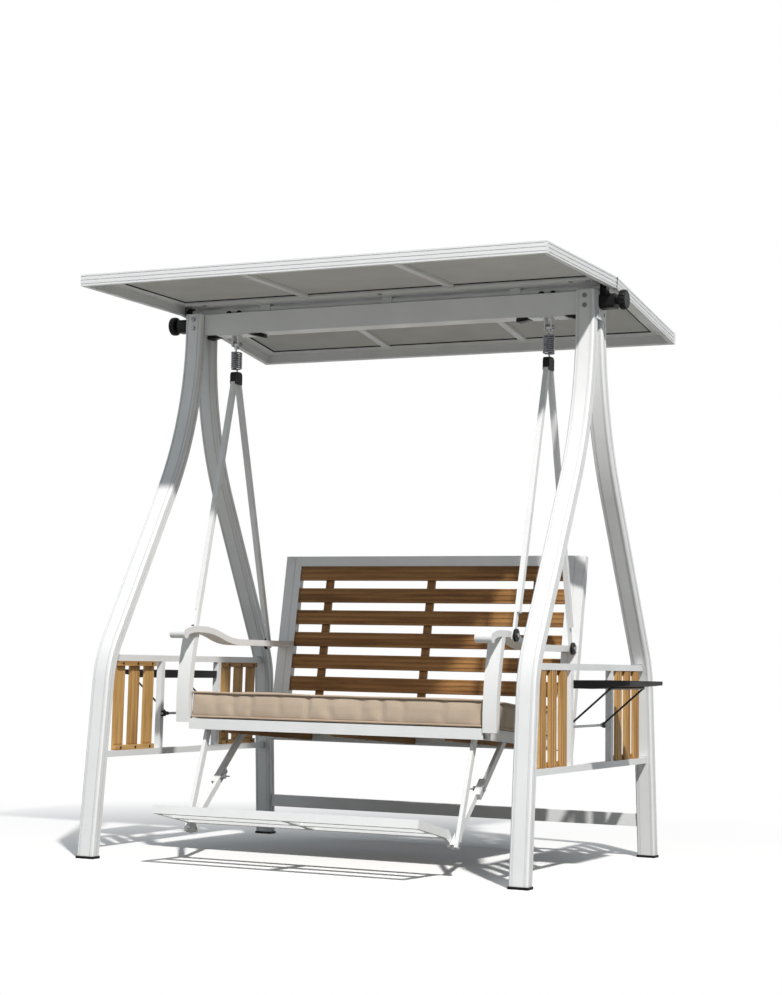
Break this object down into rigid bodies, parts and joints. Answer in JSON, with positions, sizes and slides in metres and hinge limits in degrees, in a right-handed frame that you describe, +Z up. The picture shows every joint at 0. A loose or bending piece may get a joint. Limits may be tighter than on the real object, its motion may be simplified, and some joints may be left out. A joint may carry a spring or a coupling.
{
  "type": "swing chair",
  "caption": "Garden swing bench hung on springs from a stand with curved posts, under a tilting hard canopy, with a slatted back, cushion, footrest and folding side tables.",
  "frame": {"origin": "on the floor at the middle of the rectangle of the four feet, under the middle of the top beam", "axes": "+Z up, +X to the right of someone who faces the bench, the front of the bench is at -Y"},
  "size_m": [1.8086, 1.2961, 1.8502],
  "materials": {
    "white_frame": "white powder coat, satin",
    "wood_look": "oiled teak look, fluted",
    "black_plastic": "moulded, matte",
    "roof_panel": "smooth sheet, satin",
    "seal_rubber": "matte",
    "zinc_steel": "zinc plated",
    "spring_steel": "bright zinc plated wire",
    "cushion_fabric": "woven outdoor fabric, piped edges",
    "black_steel": "black coat"
  },
  "bodies": {
    "stand": {"beam_tongues": "white_frame", "dome_bolts": "black_plastic", "foot_caps": "black_plastic", "hanger_bolts": "zinc_steel", "hanger_brackets": "white_frame", "head_plates": "white_frame", "plate_screws": "zinc_steel", "post_bolts": "zinc_steel", "post_front_left": "white_frame", "post_front_right": "white_frame", "post_rear_left": "white_frame", "post_rear_right": "white_frame", "rear_crossbar": "white_frame", "rod_clips": "black_plastic", "side_battens": "wood_look", "side_frames": "white_frame", "side_slats": "wood_look", "table_rods": "zinc_steel", "tilt_housings": "black_plastic", "top_beam": "white_frame"},
    "canopy": {"canopy_rails": "white_frame", "canopy_panels": "roof_panel", "canopy_flanges": "white_frame", "canopy_gaskets": "seal_rubber", "canopy_ribs": "white_frame", "ridge_rails": "white_frame", "canopy_screws": "zinc_steel", "ridge_seal": "seal_rubber", "pivot_tube": "white_frame", "tube_saddles": "white_frame"},
    "tilt_knob_right": {"tilt_knob_right": "black_plastic"},
    "tilt_knob_left": {"tilt_knob_left": "black_plastic"},
    "hanger": {"hanger_eyes": "zinc_steel", "springs": "spring_steel"},
    "swing": {"apex_joints": "black_plastic", "swing_bars": "white_frame", "arm_joint_caps": "black_plastic", "arm_bolts": "zinc_steel", "armrest_right": "white_frame", "armrest_left": "white_frame", "arm_uprights": "white_frame", "seat_rails": "white_frame", "seat_bearers": "wood_look", "seat_slats": "wood_look", "seat_cushion": "cushion_fabric", "back_stiles": "white_frame", "back_rails": "white_frame", "back_slats": "wood_look", "back_battens": "wood_look", "front_struts": "white_frame", "rear_struts": "white_frame", "strut_bolts": "zinc_steel"},
    "footrest": {"footrest_rails": "white_frame", "footrest_sides": "white_frame"},
    "wing_nut_right": {"wing_nut_right": "zinc_steel"},
    "wing_nut_left": {"wing_nut_left": "zinc_steel"},
    "table_right": {"table_right": "black_plastic"},
    "table_left": {"table_left": "black_plastic"},
    "stay_right": {"table_stay_right": "black_steel"},
    "stay_left": {"table_stay_left": "black_steel"}
  },
  "joints": [
    {"name": "canopy_tilt", "type": "hinge", "parent": "stand", "child": "canopy", "pos_m": [0, 0, 1.8185], "axis": [1, 0, 0], "range_deg": [-12, 12]},
    {"name": "tilt_knob_right_turn", "type": "hinge", "parent": "stand", "child": "tilt_knob_right", "pos_m": [0.8, 0, 1.778], "axis": [1, 0, 0], "continuous": true},
    {"name": "tilt_knob_left_turn", "type": "hinge", "parent": "stand", "child": "tilt_knob_left", "pos_m": [-0.8, 0, 1.778], "axis": [1, 0, 0], "continuous": true},
    {"name": "swing_pivot", "type": "hinge", "parent": "stand", "child": "hanger", "pos_m": [0, 0, 1.704], "axis": [1, 0, 0], "range_deg": [-18, 18]},
    {"name": "spring_bounce", "type": "slide", "parent": "hanger", "child": "swing", "axis": [0, 0, 1], "range_m": [-0.02, 0.002], "stiffness_N_per_m": 50000, "springref_m": 0.01015, "deforming": ["springs"]},
    {"name": "footrest_fold", "type": "hinge", "parent": "swing", "child": "footrest", "pos_m": [0, -0.425, 0.1], "axis": [-1, 0, 0], "range_deg": [0, 95]},
    {"name": "wing_nut_right_turn", "type": "hinge", "parent": "swing", "child": "wing_nut_right", "pos_m": [0.438, -0.2404, 0.25586], "axis": [1, 0, 0], "continuous": true},
    {"name": "wing_nut_left_turn", "type": "hinge", "parent": "swing", "child": "wing_nut_left", "pos_m": [-0.438, -0.2404, 0.25586], "axis": [1, 0, 0], "continuous": true},
    {"name": "table_right_fold", "type": "hinge", "parent": "stand", "child": "table_right", "pos_m": [0.72025, 0, 0.588], "axis": [0, 1, 0], "range_deg": [0, 75]},
    {"name": "table_left_fold", "type": "hinge", "parent": "stand", "child": "table_left", "pos_m": [-0.72025, 0, 0.588], "axis": [0, -1, 0], "range_deg": [0, 75]},
    {"name": "stay_right_swing", "type": "hinge", "parent": "stand", "child": "stay_right", "pos_m": [0.70851, 0, 0.452], "axis": [0, 1, 0], "range_deg": [0, 113]},
    {"name": "stay_left_swing", "type": "hinge", "parent": "stand", "child": "stay_left", "pos_m": [-0.70851, 0, 0.452], "axis": [0, -1, 0], "range_deg": [0, 113]}
  ],
  "couplings": [
    {"joint": "stay_right_swing", "follows": "table_right_fold", "ratio": 1.5},
    {"joint": "stay_left_swing", "follows": "table_left_fold", "ratio": 1.5}
  ]
}
